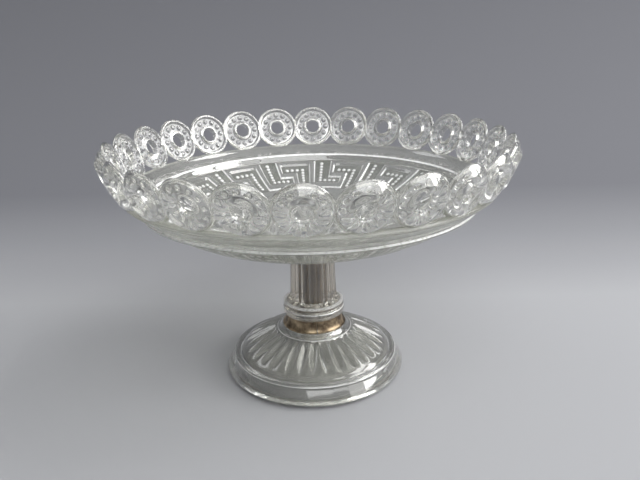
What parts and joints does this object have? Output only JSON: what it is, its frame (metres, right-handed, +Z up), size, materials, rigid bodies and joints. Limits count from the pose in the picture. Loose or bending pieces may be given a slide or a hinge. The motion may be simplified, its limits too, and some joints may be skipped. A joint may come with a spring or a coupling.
{
  "type": "footed candy dish",
  "caption": "Footed candy dish of clear pressed glass: a shallow saucer with a rim of openwork discs on a fluted stem, a brass ferrule and a domed foot.",
  "frame": {"origin": "on the surface that the dish stands on, under the middle of the dish", "axes": "+Z up along the dish's axis; one rim disc faces -Y and one +Y, and the ferrule's seam is near -Y"},
  "size_m": [0.2194, 0.2204, 0.1378],
  "materials": {
    "clear_glass": "fire-polished",
    "brass": "aged, rolled strip",
    "cement": "dry, set"
  },
  "bodies": {
    "root": {"foot": "clear_glass", "cement_bed": "cement", "ferrule": "brass", "stem": "clear_glass", "joining_wafer": "clear_glass", "bowl": "clear_glass"}
  },
  "joints": []
}
